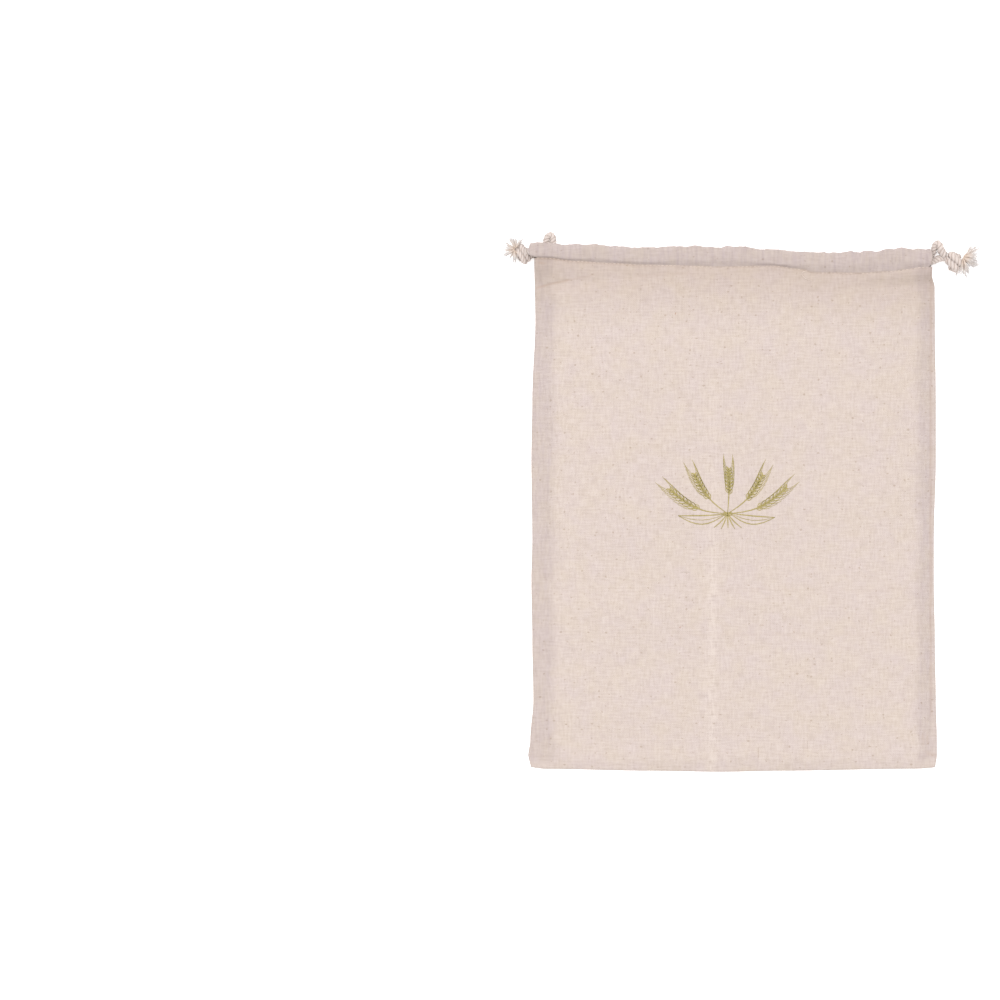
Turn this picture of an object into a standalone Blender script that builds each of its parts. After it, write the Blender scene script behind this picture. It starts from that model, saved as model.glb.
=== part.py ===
"""A linen drawstring bread bag, empty and lying on its back, with its mouth towards +Y.

One length of cloth is folded at the bottom and seamed up both sides. Its two ends are turned in as
channels. Two drawcords run through both channels, one knotted at the left and one at the right, and
each knot ends in the frayed ends of its cord.
"""

import math

import bpy
import numpy as np

MM = 0.001

LINEN, LINEN_ROUGHNESS = (0.78, 0.66, 0.60), 0.9
COTTON, COTTON_ROUGHNESS = (0.76, 0.67, 0.60), 0.95

# Cloth, in millimetres
CLOTH = 1.0
COLUMNS = 24
BODY_ROWS = 17
RIM_OUT = 0.9
SIDES = [  # y, left edge x, right edge x
    (-195.4, -151.5, 152.2),
    (-185.6, -153.4, 153.4),
    (-174.4, -151.9, 153.4),
    (-144.4, -149.6, 152.6),
    (-99.4, -150.4, 151.9),
    (-54.4, -151.1, 151.1),
    (-24.4, -150.4, 151.1),
    (35.6, -151.1, 152.6),
    (80.6, -150.4, 152.6),
    (140.6, -148.1, 151.9),
    (178.1, -148.9, 149.6),
]
BOTTOM = [  # x, y of the bottom fold
    (-152.0, -195.0),
    (-140.0, -196.2),
    (-62.0, -197.6),
    (-9.4, -198.4),
    (35.6, -197.6),
    (137.0, -196.1),
    (152.0, -195.2),
]
TOP = [  # x, y of the top fold
    (-152.0, 197.2),
    (-144.0, 198.4),
    (-114.0, 198.0),
    (-84.0, 195.8),
    (-32.0, 196.9),
    (-2.0, 195.8),
    (24.0, 193.9),
    (50.0, 192.4),
    (73.0, 190.9),
    (96.0, 192.4),
    (122.0, 194.6),
    (137.0, 193.9),
    (149.0, 196.1),
]
HEM_DEPTH = [  # x, depth of the channel from the top fold to its stitching
    (-152.0, 13.5),
    (-117.0, 13.9),
    (-92.0, 14.2),
    (-60.0, 15.2),
    (-5.0, 15.8),
    (50.0, 14.3),
    (98.0, 17.2),
    (149.0, 16.0),
]
CROWN = [  # y, height of the front cloth's middle along the bag
    (-197.0, 2.1),
    (-183.0, 3.4),
    (-150.0, 6.1),
    (-60.0, 10.7),
    (20.0, 13.3),
    (110.0, 14.1),
    (182.0, 14.4),
]
EDGE = [  # y, height of the front cloth at its sides
    (-197.0, 2.1),
    (130.0, 2.1),
    (165.0, 7.0),
    (184.0, 14.4),
]
CROWN_POWER = 3.5
FOLDS = [  # from x, y, to x, y, half width, height
    (-15.4, 95.0, -15.4, -196.0, 7.0, 0.8),
    (-146.0, 165.0, -55.0, 174.0, 4.0, -0.9),
    (-140.0, 156.0, -60.0, 166.0, 6.0, 0.7),
    (62.0, 172.0, 118.0, 170.0, 6.0, 0.6),
    (147.0, 172.0, 148.5, -158.0, 2.5, -0.5),
    (-120.0, -60.0, 95.0, -62.0, 9.0, -0.5),
    (-60.0, 60.0, 110.0, 40.0, 12.0, 0.4),
]

# The channel's section in millimetres: distance below the top fold, height over its flat side
STITCH_RISE = 1.3
SECTION = [
    (10.9, 5.1),
    (8.3, 5.7),
    (4.6, 5.7),
    (2.2, 4.7),
    (0.85, 3.4),
    (0.5, 2.2),
    (0.95, 0.8),
    (2.2, 0.0),
    (5.0, 0.0),
    (8.3, 0.0),
]
SHOULDER = (1.0, 3.0)
MOUTH_GAP = 6.1
CHANNEL_RISE = 5.7
LEAF_FROM, LEAF_TO = 3, 21  # columns between which the inner leaf is whole; past them only a lip is left
LIP_BELOW, LIP_RISE, LIP_CLIMB = 2.2, 4.9, 0.3
LIP_STEP_FRONT, LIP_STEP_BACK = 0.12, 0.35
FRONT_ENDS = (-152.9, 149.1)
BACK_ENDS = (-150.5, 152.9)

# Drawcords, in millimetres
STRAND_UPPER, STRAND_LOWER = 4.3, 8.6
STRAND_RISE = 2.75
HELD, EASED, BENT, BENT_FREE, FREE = 1.95, 2.0, 2.15, 2.45, 2.6
CORD_SIDES = 9
LAY = 9.0
RIDGE = 0.14
STEP_HELD, STEP_FREE = 12.0, 1.8
KNOT_GAP = 0.35

# Knots, in millimetres
KNOT_LOOP = 1.32
KNOT_RISE = 1.75
KNOT_TUBE = 2.45
KNOT_VOXEL = 0.95
KNOTS = {  # centre x, y, z, turn in degrees, direction of the frayed ends, fan, strands, lengths
    "left": (-158.0, 191.6, 4.6, 35.0, 176.0, 72.0, 22, 6.0, 9.5),
    "right": (165.9, 184.3, 4.6, -10.0, -6.0, 78.0, 24, 10.0, 16.0),
}
NECK_REACH = 6.4
NECK_BACK = 3.0
NECK_RADIUS = 3.2
ROOT_DEPTH = 2.4
ROOT_SPREAD = 2.1
STRAND_SIDES = 3
STRAND_RADIUS = 0.33
FLOOR_CLEARANCE = 0.3

back_wall = CLOTH / 2
front_leaf = CLOTH / 2 + CHANNEL_RISE + CLOTH + MOUTH_GAP
high_strand = front_leaf + STRAND_RISE
low_strand = back_wall + STRAND_RISE


def eased(rows, at, column=1):
    """Reads a table of rows at the given places, easing from each row to the next."""
    rows = np.asarray(rows, float)
    k = np.clip(np.searchsorted(rows[:, 0], at) - 1, 0, len(rows) - 2)
    t = np.clip((at - rows[k, 0]) / (rows[k + 1, 0] - rows[k, 0]), 0, 1)
    return rows[k, column] + (rows[k + 1, column] - rows[k, column]) * t * t * (3 - 2 * t)


def fold_relief(x, y):
    """Height that the folds add: a soft ridge or trough along each row of FOLDS, fading past its ends."""
    rise = np.zeros_like(x)
    for x0, y0, x1, y1, width, height in FOLDS:
        length = math.hypot(x1 - x0, y1 - y0)
        along = ((x - x0) * (x1 - x0) + (y - y0) * (y1 - y0)) / length
        off = ((x - x0) * (y1 - y0) - (y - y0) * (x1 - x0)) / length
        past = np.maximum(np.maximum(-along, along - length), 0)
        rise += height * np.exp(-((off / width) ** 2) - (past / (2 * width)) ** 2)
    return rise


def body_grid():
    """Plan and front height of the cloth's middle line, from the bottom fold up to the stitching."""
    across = np.linspace(-1, 1, COLUMNS + 1)[None, :]
    even = np.linspace(0, 1, BODY_ROWS + 1)[:, None]
    up = 0.45 * even + 0.55 * (1 - np.cos(np.pi * even)) / 2
    inset = CLOTH / 2 + RIM_OUT
    x = across * 150.0 + 0 * up
    stitch = eased(TOP, x) - eased(HEM_DEPTH, x)
    bottom = eased(BOTTOM, x) + inset
    y = bottom + (stitch - bottom) * up
    left = eased(SIDES, y, 1) + inset
    right = eased(SIDES, y, 2) - inset
    x = left + (right - left) * (across + 1) / 2
    edge = eased(EDGE, y)
    dome = 1 - np.abs(across) ** CROWN_POWER
    fade = np.clip((1 - np.abs(across)) / 0.12, 0, 1) * np.clip((stitch - y) / 12, 0, 1)
    fade = fade * np.clip((y - bottom) / 12, 0, 1)
    z = edge + (eased(CROWN, y) - edge) * dome + fold_relief(x, y) * fade
    z[-1] = front_leaf + STITCH_RISE
    return x, y, z


def channel_grid(x_stitch, ends, outer_first):
    """Rows of a channel, from just past its stitching, over the top fold and down its inner leaf."""
    flat = front_leaf if outer_first else back_wall
    depth = eased(HEM_DEPTH, x_stitch)
    across = (x_stitch - x_stitch[0]) / (x_stitch[-1] - x_stitch[0])
    x_end = ends[0] + (ends[1] - ends[0]) * across
    shoulder = [(depth - SHOULDER[0], SHOULDER[1] + 0 * depth)]
    section = [(a + 0 * depth, b + 0 * depth) for a, b in SECTION]
    leaf_end = [(depth, 0 * depth)] if outer_first else [(depth, STITCH_RISE + 0 * depth)]
    rows = shoulder + section if outer_first else section[::-1] + shoulder
    rows = rows + leaf_end
    turned = [k for k, (a, _) in enumerate(rows) if a[0] < 2.3][-1]
    column = np.arange(COLUMNS + 1)
    held = (column >= LEAF_FROM) & (column <= LEAF_TO)
    stitched = (column > LEAF_FROM) & (column < LEAF_TO)
    grid = []
    for k, (below, rise) in enumerate(rows):
        flare = min(1.0, 0.4 + 0.3 * k)
        if k > turned:
            lip = k - turned
            step = LIP_STEP_FRONT if outer_first else LIP_STEP_BACK
            below = np.where(held, below, LIP_BELOW + step * lip)
            if not outer_first:
                lip_rise = min(CHANNEL_RISE, LIP_RISE + LIP_CLIMB * lip)
                rise = np.where(stitched, rise, np.where(held, CHANNEL_RISE, lip_rise))
        x = x_stitch + (x_end - x_stitch) * flare
        grid.append(np.stack([x, eased(TOP, x) - below, flat + rise], axis=1))
    return np.array(grid)


def quads(index):
    """Faces between neighbouring rows and columns of a grid of point numbers."""
    corners = index[:-1, :-1], index[:-1, 1:], index[1:, 1:], index[1:, :-1]
    return np.stack(corners, axis=-1).reshape(-1, 4)


def bag_surface():
    """The cloth's middle surface: both walls, the rim that joins them, and both channels."""
    x, y, z = body_grid()
    front = np.stack([x, y, z], axis=-1)
    back = np.stack([x, y, np.full_like(z, back_wall)], axis=-1)
    front = np.concatenate([front, channel_grid(x[-1], FRONT_ENDS, True)])
    back = np.concatenate([back, channel_grid(x[-1], BACK_ENDS, False)])
    front_index = np.arange(front[..., 0].size).reshape(front.shape[:2])
    back_index = front_index.size + np.arange(back[..., 0].size).reshape(back.shape[:2])
    top = BODY_ROWS
    rim = [(i, 0, -1, 0) for i in range(top, 0, -1)] + [(0, 0, -0.7, -0.7)]
    rim += [(0, j, 0, -1) for j in range(1, COLUMNS)] + [(0, COLUMNS, 0.7, -0.7)]
    rim += [(i, COLUMNS, 1, 0) for i in range(1, top + 1)]
    rows, cols, out_x, out_y = (np.array(each) for each in zip(*rim))
    upper, lower = front[rows, cols], back[rows, cols]
    middle, half = (upper + lower) / 2, (upper - lower)[:, 2:] / 2
    away = RIM_OUT * np.stack([out_x, out_y, 0 * out_x], axis=1)
    bands = []
    for turn in (math.radians(42), math.radians(-42)):
        lift = np.concatenate([0 * half, 0 * half, half * math.sin(turn)], axis=1)
        bands.append(middle + away * math.cos(turn) + lift)
    first = front_index.size + back_index.size
    band_index = first + np.arange(2 * len(rim)).reshape(2, len(rim))
    rim_index = np.stack([front_index[rows, cols], *band_index, back_index[rows, cols]])
    points = np.concatenate([front.reshape(-1, 3), back.reshape(-1, 3), *bands])
    turned_down = [quads(back_index), quads(rim_index)]
    faces = np.concatenate([quads(front_index), *(each[:, ::-1] for each in turned_down)])
    return points, faces


def curve_through(points, spacing=0.5):
    """Points and radii along a smooth curve through a route's rows of x, y, z, radius."""
    rows = np.array([points[0], *points, points[-1]], float)
    path = []
    for a, b, c, d in zip(rows, rows[1:], rows[2:], rows[3:]):
        count = max(2, int(np.linalg.norm((c - b)[:3]) / spacing))
        t = np.linspace(0, 1, count, endpoint=False)[:, None]
        ease = 0.5 * (2 * b + (c - a) * t + (2 * a - 5 * b + 4 * c - d) * t**2)
        path.append(ease + 0.5 * (3 * b - a - 3 * c + d) * t**3)
    return np.concatenate([*path, rows[-1:]])


def tube(path, sides, swell=0.0, ridge=0.0):
    """Points and faces of a closed tube along rows of x, y, z, radius, its three ridges turning with LAY."""
    place = path[:, :3]
    run = np.gradient(place, axis=0)
    run /= np.linalg.norm(run, axis=1, keepdims=True)
    gone = np.concatenate([[0], np.cumsum(np.linalg.norm(np.diff(place, axis=0), axis=1))])
    side = np.cross(run[0], (0.0, 0.0, 1.0))
    around = np.linspace(0, 2 * np.pi, sides, endpoint=False)
    rings = []
    for at, ahead, length, radius in zip(place, run, gone, path[:, 3]):
        side = side - ahead * side.dot(ahead)
        side /= np.linalg.norm(side)
        lift = np.cross(ahead, side)
        turned = around + (2 * np.pi * length / LAY if ridge else 0)
        free = np.clip((radius - HELD) / (FREE - HELD), 0, 1)
        reach = (radius + swell) * (1 + ridge * free * (np.cos(3 * around) - 1) / 2)
        spoke = np.cos(turned)[:, None] * side + np.sin(turned)[:, None] * lift
        rings.append(at + spoke * reach[:, None])
    index = np.arange(len(rings) * sides).reshape(len(rings), sides)
    walls = quads(np.concatenate([index, index[:, :1]], axis=1)).tolist()
    ends = [index[0, ::-1].tolist(), index[-1].tolist()]
    return np.concatenate(rings), walls + ends


def spaced(path):
    """The rows of a fine path where a cord's rings go: close together where it is free and bends."""
    gone = np.concatenate([[0], np.cumsum(np.linalg.norm(np.diff(path[:, :3], axis=0), axis=1))])
    keep, last = [0], 0.0
    for k in range(1, len(path) - 1):
        step = STEP_FREE if path[k, 3] > HELD + 0.02 else STEP_HELD
        if gone[k] - last >= step and gone[-1] - gone[k] > STEP_FREE / 2:
            keep.append(k)
            last = gone[k]
    return path[[*keep, len(path) - 1]]


def in_channel(below, z, leftwards):
    """Route rows through a channel, a fixed distance below its top fold."""
    places = [-112, -96, -80, -64, -48, -32, -16, 0, 16, 32, 48, 64, 80, 96, 112]
    rows = [(x, float(eased(TOP, np.array(x))) - below, z, HELD) for x in places]
    return rows[::-1] if leftwards else rows


def left_route():
    """From the left knot through the front channel, round at the right, and back through the back one."""
    out = [
        (-155.4, 192.4, 8.0, FREE),
        (-151.8, 191.4, 9.8, FREE),
        (-146.5, 190.6, 12.2, 2.4),
        (-139.0, 190.6, 14.4, EASED),
        (-130.0, 192.2, 15.6, EASED),
        (-121.0, 193.6, high_strand, HELD),
    ]
    right_bend = [
        (120.0, 190.1, high_strand, EASED),
        (127.0, 189.2, 15.75, EASED),
        (132.6, 188.2, 14.0, BENT),
        (135.0, 187.9, 9.6, BENT),
        (132.6, 188.2, 5.2, BENT),
        (127.0, 189.2, 3.4, EASED),
        (120.0, 190.1, low_strand, EASED),
    ]
    home = [
        (-121.0, 193.6, low_strand, HELD),
        (-130.0, 193.1, 3.3, HELD),
        (-137.0, 191.6, 3.5, EASED),
        (-143.5, 190.0, 3.9, 2.3),
        (-149.0, 189.2, 4.1, FREE),
        (-154.6, 188.8, 3.7, FREE),
    ]
    there = in_channel(STRAND_UPPER, high_strand, False)
    return [*out, *there, *right_bend, *in_channel(STRAND_UPPER, low_strand, True), *home]


def right_route():
    """From the right knot through the front channel, up in a bight at the left, and back to its loop."""
    out = [
        (160.6, 185.2, 6.6, FREE),
        (154.5, 184.3, 8.2, FREE),
        (148.0, 183.6, 10.6, FREE),
        (140.0, 183.4, 12.6, BENT),
        (133.0, 183.5, 14.1, EASED),
        (126.5, 184.5, 15.4, EASED),
        (120.0, 185.9, high_strand, HELD),
    ]
    left_bight = [
        (-119.5, 189.0, high_strand, EASED),
        (-124.0, 188.4, 14.8, EASED),
        (-128.5, 188.1, 12.7, BENT),
        (-134.0, 188.6, 10.6, BENT),
        (-138.4, 191.6, 9.55, BENT_FREE),
        (-140.0, 196.0, 9.55, BENT_FREE),
        (-140.1, 200.4, 9.55, BENT_FREE),
        (-139.0, 203.2, 9.55, BENT_FREE),
        (-137.1, 204.2, 9.55, BENT_FREE),
        (-135.2, 202.9, 9.55, BENT_FREE),
        (-134.4, 199.4, 9.6, BENT_FREE),
        (-133.6, 195.2, 9.5, BENT_FREE),
        (-132.0, 192.0, 8.2, BENT),
        (-129.6, 189.4, 5.9, EASED),
        (-125.5, 188.7, 4.0, EASED),
        (-119.5, 189.2, low_strand, HELD),
    ]
    home = [
        (120.0, 185.9, low_strand, HELD),
        (128.0, 184.2, low_strand, HELD),
        (136.0, 183.6, 3.4, EASED),
        (142.5, 184.4, 4.2, 2.4),
        (147.3, 187.2, 6.2, 2.5),
        (149.7, 190.4, 9.0, FREE),
        (150.4, 193.9, 9.6, FREE),
        (151.4, 196.9, 9.6, FREE),
        (153.4, 198.1, 9.5, FREE),
        (155.4, 196.6, 9.3, FREE),
        (157.2, 192.8, 8.3, FREE),
        (159.4, 189.4, 7.0, FREE),
    ]
    there = in_channel(STRAND_LOWER, high_strand, True)
    return [*out, *there, *left_bight, *in_channel(STRAND_LOWER, low_strand, False), *home]


def knot_core(turn):
    """A cord tied in an overhand knot: a closed three-lobed path, its tube ridged like the cord."""
    t = np.linspace(0, 2 * np.pi, 73)
    x = KNOT_LOOP * (np.sin(t) + 2 * np.sin(2 * t))
    y = KNOT_LOOP * (np.cos(t) - 2 * np.cos(2 * t))
    z = -KNOT_RISE * np.sin(3 * t)
    a = math.radians(turn)
    x, y = x * math.cos(a) - y * math.sin(a), x * math.sin(a) + y * math.cos(a)
    return np.stack([x, y, z, np.full_like(t, KNOT_TUBE)], axis=1)


def frayed_strands(centre, towards, fan, count, shortest, longest):
    """Thin tapering yarns that leave one side of a knot and spread into a fan, each a little bent."""
    points, faces = [], []
    golden = math.pi * (3 - math.sqrt(5))
    out = np.array([math.cos(math.radians(towards)), math.sin(math.radians(towards)), 0])
    beside = np.array([-out[1], out[0], 0])
    for n in range(count):
        spread = math.sqrt((n + 0.5) / count)
        swing, tilt = spread * math.cos(n * golden), spread * math.sin(n * golden)
        heading = math.radians(towards + fan * swing)
        rise = math.radians(36 * tilt)
        ahead = np.array([math.cos(heading), math.sin(heading), 0]) * math.cos(rise)
        ahead[2] = math.sin(rise)
        root = centre + out * (NECK_REACH - ROOT_DEPTH) + beside * ROOT_SPREAD * swing
        root[2] += ROOT_SPREAD * tilt
        length = shortest + (longest - shortest) * ((n * 0.618) % 1) * (1 - 0.45 * spread)
        bend = 0.16 * length * swing
        across = np.array([-math.sin(heading), math.cos(heading), 0])
        rows = []
        for t, thick in ((0, 1.0), (0.4, 0.9), (0.75, 0.7), (1, 0.35)):
            at = root + ahead * length * t + across * bend * t * t
            at[2] = max(at[2] - 0.06 * length * t * t, FLOOR_CLEARANCE + STRAND_RADIUS)
            rows.append((*at, STRAND_RADIUS * thick))
        yarn, walls = tube(np.array(rows), STRAND_SIDES)
        first = sum(map(len, points))
        points.append(yarn)
        faces += [[first + k for k in face] for face in walls]
    return np.concatenate(points), faces


def cloth_material(name, colour, roughness):
    """A plain matt material in the colour of one sub-part."""
    made = bpy.data.materials.new(name)
    made.use_nodes = True
    shader = made.node_tree.nodes["Principled BSDF"]
    shader.inputs["Base Color"].default_value = (*colour, 1.0)
    shader.inputs["Roughness"].default_value = roughness
    shader.inputs["Metallic"].default_value = 0.0
    return made


def put(name, points, faces, collection, material=None):
    """A mesh object from points in millimetres, shaded smooth."""
    mesh = bpy.data.meshes.new(name)
    mesh.from_pydata((np.asarray(points) * MM).tolist(), [], [list(face) for face in faces])
    mesh.shade_smooth()
    made = bpy.data.objects.new(name, mesh)
    collection.objects.link(made)
    if material:
        mesh.materials.append(material)
    else:
        made.hide_render = True
        made.display_type = "WIRE"
    return made


def joined(target, other, operation):
    """Adds a Boolean of one object to another."""
    boolean = target.modifiers.new(other.name, "BOOLEAN")
    boolean.object = other
    boolean.operation = operation
    boolean.solver = "MANIFOLD"


def build_cloth(collection):
    """The bag's cloth: its middle surface, made solid by half the cloth's thickness to each side."""
    linen = cloth_material("linen", LINEN, LINEN_ROUGHNESS)
    cloth = put("bag_cloth", *bag_surface(), collection, linen)
    wall = cloth.modifiers.new("thickness", "SOLIDIFY")
    wall.thickness = CLOTH * MM
    wall.offset = 0.0
    wall.use_even_offset = True
    wall.use_quality_normals = True


def build_cord(side, route, collection, material):
    """One drawcord, and the shapes that keep its knot clear of its two ends."""
    path = curve_through(route)
    put(f"{side}_drawcord", *tube(spaced(path), CORD_SIDES, ridge=RIDGE), collection, material)
    ends = []
    for end in (path[:24:4], path[:-24:-4]):
        ahead = (end[0] - end[1]) / np.linalg.norm((end[0] - end[1])[:3])
        ends.append(np.concatenate([end[:1] + KNOT_GAP * ahead, end[1:]]))
    return ends


def build_knot(side, ends, collection, cutters, material):
    """The knot with its frayed ends, fused in one piece and cut clear of the cord that enters it."""
    x, y, z, turn, towards, fan, count, shortest, longest = KNOTS[side]
    centre = np.array([x, y, z])
    wraps = knot_core(turn)
    wraps[:, :3] += centre
    points, faces = tube(wraps, CORD_SIDES + 3, ridge=RIDGE)
    out = np.array([math.cos(math.radians(towards)), math.sin(math.radians(towards)), 0, 0])
    neck = np.array([*centre, NECK_RADIUS]) + out * np.array([[-NECK_BACK], [0], [NECK_REACH]])
    neck_points, neck_faces = tube(neck, CORD_SIDES)
    faces += [[len(points) + k for k in face] for face in neck_faces]
    points = np.concatenate([points, neck_points])
    knot = put(f"{side}_knot", points, faces, collection, material)
    fuse = knot.modifiers.new("fused wraps", "REMESH")
    fuse.mode = "VOXEL"
    fuse.voxel_size = KNOT_VOXEL * MM
    for n, end in enumerate(ends):
        around = put(f"{side}_cord_end_{n}", *tube(end, CORD_SIDES, swell=KNOT_GAP), cutters)
        joined(knot, around, "DIFFERENCE")
    strands = frayed_strands(centre, towards, fan, count, shortest, longest)
    joined(knot, put(f"{side}_frayed_ends", *strands, cutters), "UNION")


def build():
    """Clears the scene and builds every sub-part."""
    for old in list(bpy.data.objects):
        bpy.data.objects.remove(old)
    parts = bpy.data.collections.new("linen_bread_bag")
    cutters = bpy.data.collections.new("cutters")
    cutters.hide_render = True
    for collection in (parts, cutters):
        bpy.context.scene.collection.children.link(collection)
    cotton = {side: cloth_material(f"{side} cotton cord", COTTON, COTTON_ROUGHNESS) for side in KNOTS}
    build_cloth(parts)
    for side, route in (("left", left_route()), ("right", right_route())):
        ends = build_cord(side, route, parts, cotton[side])
        build_knot(side, ends, parts, cutters, cotton[side])


build()
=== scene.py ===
"""A linen bread bag lying flat: its two knotted drawcords, its cloth, its print and its stitching."""

import math

import bpy
import numpy as np
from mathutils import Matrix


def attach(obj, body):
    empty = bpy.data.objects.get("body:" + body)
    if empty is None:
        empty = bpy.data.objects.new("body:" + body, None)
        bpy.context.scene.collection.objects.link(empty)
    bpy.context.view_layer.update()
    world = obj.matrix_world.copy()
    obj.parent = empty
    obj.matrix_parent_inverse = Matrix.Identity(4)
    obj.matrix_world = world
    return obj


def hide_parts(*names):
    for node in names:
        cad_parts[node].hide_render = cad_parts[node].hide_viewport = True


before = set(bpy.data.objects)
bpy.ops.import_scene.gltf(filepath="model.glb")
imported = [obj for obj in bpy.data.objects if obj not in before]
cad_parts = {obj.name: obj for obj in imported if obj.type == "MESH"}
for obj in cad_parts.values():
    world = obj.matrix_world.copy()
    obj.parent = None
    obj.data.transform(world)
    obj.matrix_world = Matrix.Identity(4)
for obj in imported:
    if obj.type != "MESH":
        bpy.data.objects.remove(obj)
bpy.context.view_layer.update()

# Camera, floor and light. The bag lies on a back-lit white acrylic sheet under one wide soft lamp.
# The camera looks straight down from high up, and the bag lies to the right of what it looks at.
MM = 0.001
PIXEL_MM = 0.75
IMAGE_WIDTH = 1000
CAMERA_HEIGHT_MM = 6000
LOOKS_AT = (-174.4, 5.6)
FLOOR_HALF_M = 9.0
LAMP_WIDTH = 75.0
LAMP_TILT = (-12.0, -5.0, 0.0)
LAMP_POWER = 2.3
WALL_GLOW = 0.88
WALL_WHITE = "#fcfcfe"
SHEET_WHITE = "#fafafa"
SHEET_GLOW = 0.4


def linear(hex_colour):
    """An sRGB hex colour as four linear values."""
    parts = np.array([int(hex_colour[k : k + 2], 16) for k in (1, 3, 5)]) / 255
    bent = np.where(parts > 0.04045, ((parts + 0.055) / 1.055) ** 2.4, parts / 12.92)
    return (*bent.tolist(), 1.0)


def add(tree, kind, inputs=None, **settings):
    """One node with its settings, and its inputs by name or number, each a value or another node's output."""
    made = tree.nodes.new("ShaderNode" + kind)
    for setting, value in settings.items():
        setattr(made, setting, value)
    for name, value in (inputs or {}).items():
        value = value.outputs[0] if isinstance(value, bpy.types.Node) else value
        if isinstance(value, bpy.types.NodeSocket):
            tree.links.new(value, made.inputs[name])
        else:
            made.inputs[name].default_value = value
    return made


def surface(name, colour, roughness):
    """A material with one Principled shader, and that shader, still to be dressed."""
    made = bpy.data.materials.new(name)
    made.use_nodes = True
    shader = made.node_tree.nodes["Principled BSDF"]
    shader.inputs["Base Color"].default_value = linear(colour)
    shader.inputs["Roughness"].default_value = roughness
    return made, made.node_tree, shader


view = bpy.data.cameras.new("camera")
view.lens = view.sensor_width * CAMERA_HEIGHT_MM / (IMAGE_WIDTH * PIXEL_MM)
view.clip_end = 100
camera = bpy.data.objects.new("camera", view)
camera.location = (LOOKS_AT[0] * MM, LOOKS_AT[1] * MM, CAMERA_HEIGHT_MM * MM)
bpy.context.collection.objects.link(camera)
bpy.context.scene.camera = camera

lamp = bpy.data.objects.new("soft lamp", bpy.data.lights.new("soft lamp", "SUN"))
lamp.data.energy = LAMP_POWER
lamp.data.angle = math.radians(LAMP_WIDTH)
lamp.rotation_euler = [math.radians(turn) for turn in LAMP_TILT]
bpy.context.collection.objects.link(lamp)

walls = bpy.data.worlds.new("white walls")
walls.use_nodes = True
walls.node_tree.nodes["Background"].inputs["Color"].default_value = linear(WALL_WHITE)
walls.node_tree.nodes["Background"].inputs["Strength"].default_value = WALL_GLOW
bpy.context.scene.world = walls
bpy.context.scene.view_settings.view_transform = "Standard"

corner = FLOOR_HALF_M
floor_mesh = bpy.data.meshes.new("floor")
floor_corners = [(-corner, -corner, 0), (corner, -corner, 0), (corner, corner, 0), (-corner, corner, 0)]
floor_mesh.from_pydata(floor_corners, [], [(0, 1, 2, 3)])
back_lit, _, lit = surface("opal white acrylic, back-lit", SHEET_WHITE, 0.6)
lit.inputs["Emission Color"].default_value = linear(SHEET_WHITE)
lit.inputs["Emission Strength"].default_value = SHEET_GLOW
floor_mesh.materials.append(back_lit)
floor = bpy.data.objects.new("floor", floor_mesh)
bpy.context.collection.objects.link(floor)

# Drawcords. Each is about 0.6 m of soft undyed cotton cord, three strands laid together with a turn
# every 8 mm. Both run side by side through the front channel and back through the back one, the left
# one's ends meeting in a knot at the left and the right one's at the right. A channel squeezes them.
TOP = [  # x, y of the cloth's top fold
    (-152.0, 196.9),
    (-146.0, 198.1),
    (-134.0, 198.2),
    (-124.0, 197.2),
    (-99.0, 197.0),
    (-86.0, 195.8),
    (-70.0, 194.9),
    (-57.0, 194.8),
    (-34.0, 195.5),
    (-14.0, 195.1),
    (8.0, 195.3),
    (24.0, 193.6),
    (50.0, 191.8),
    (73.0, 190.9),
    (96.0, 191.4),
    (110.0, 192.6),
    (126.0, 194.2),
    (140.0, 193.6),
    (149.0, 194.4),
]
BACK_WALL = 0.5
FRONT_LEAF = 13.3
STRAND_UPPER, STRAND_LOWER = 4.3, 8.6
HIGH_STRAND, LOW_STRAND = FRONT_LEAF + 2.75, BACK_WALL + 2.75
HELD, EASED, BENT, BENT_FREE, FREE = 1.95, 2.0, 2.15, 2.7, 2.6
CORD_DIAMETER = 5.2
CORD_SIDES = 24
CORD_LAY = 8.0
STRAND_SHARE = 0.7
YARN_LAY = 2.6
YARN_WIDTH = 0.42
COTTON = "#cdc3bf"
COTTON_SHADE = "#b9ada6"
# Painted shade for the grooves between the strands.
COTTON_GROOVE_SHADE = "#8d796a"
COTTON_PALE = "#e6ddd6"
# The largest share of painted shade, at the bottoms of the grooves.
GROOVE_SHADE_SHARE = 0.65


def eased(rows, at, column=1):
    """Reads a table of rows at the given places, easing from each row to the next."""
    rows = np.asarray(rows, float)
    k = np.clip(np.searchsorted(rows[:, 0], at) - 1, 0, len(rows) - 2)
    t = np.clip((at - rows[k, 0]) / (rows[k + 1, 0] - rows[k, 0]), 0, 1)
    return rows[k, column] + (rows[k + 1, column] - rows[k, column]) * t * t * (3 - 2 * t)


def curve_through(points, spacing=0.5):
    """Rows along a smooth curve through a route's rows: each span is a cubic that leaves and arrives
    along the line between the rows on either side."""
    rows = np.array([points[0], *points, points[-1]], float)
    path = []
    for a, b, c, d in zip(rows, rows[1:], rows[2:], rows[3:]):
        count = max(2, int(np.linalg.norm((c - b)[:3]) / spacing))
        t = np.linspace(0, 1, count, endpoint=False)[:, None]
        ease = 0.5 * (2 * b + (c - a) * t + (2 * a - 5 * b + 4 * c - d) * t**2)
        path.append(ease + 0.5 * (3 * b - a - 3 * c + d) * t**3)
    return np.concatenate([*path, rows[-1:]])


def quads(index):
    """Faces between neighbouring rows and columns of a grid of point numbers."""
    corners = index[:-1, :-1], index[:-1, 1:], index[1:, 1:], index[1:, :-1]
    return np.stack(corners, axis=-1).reshape(-1, 4)


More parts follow.
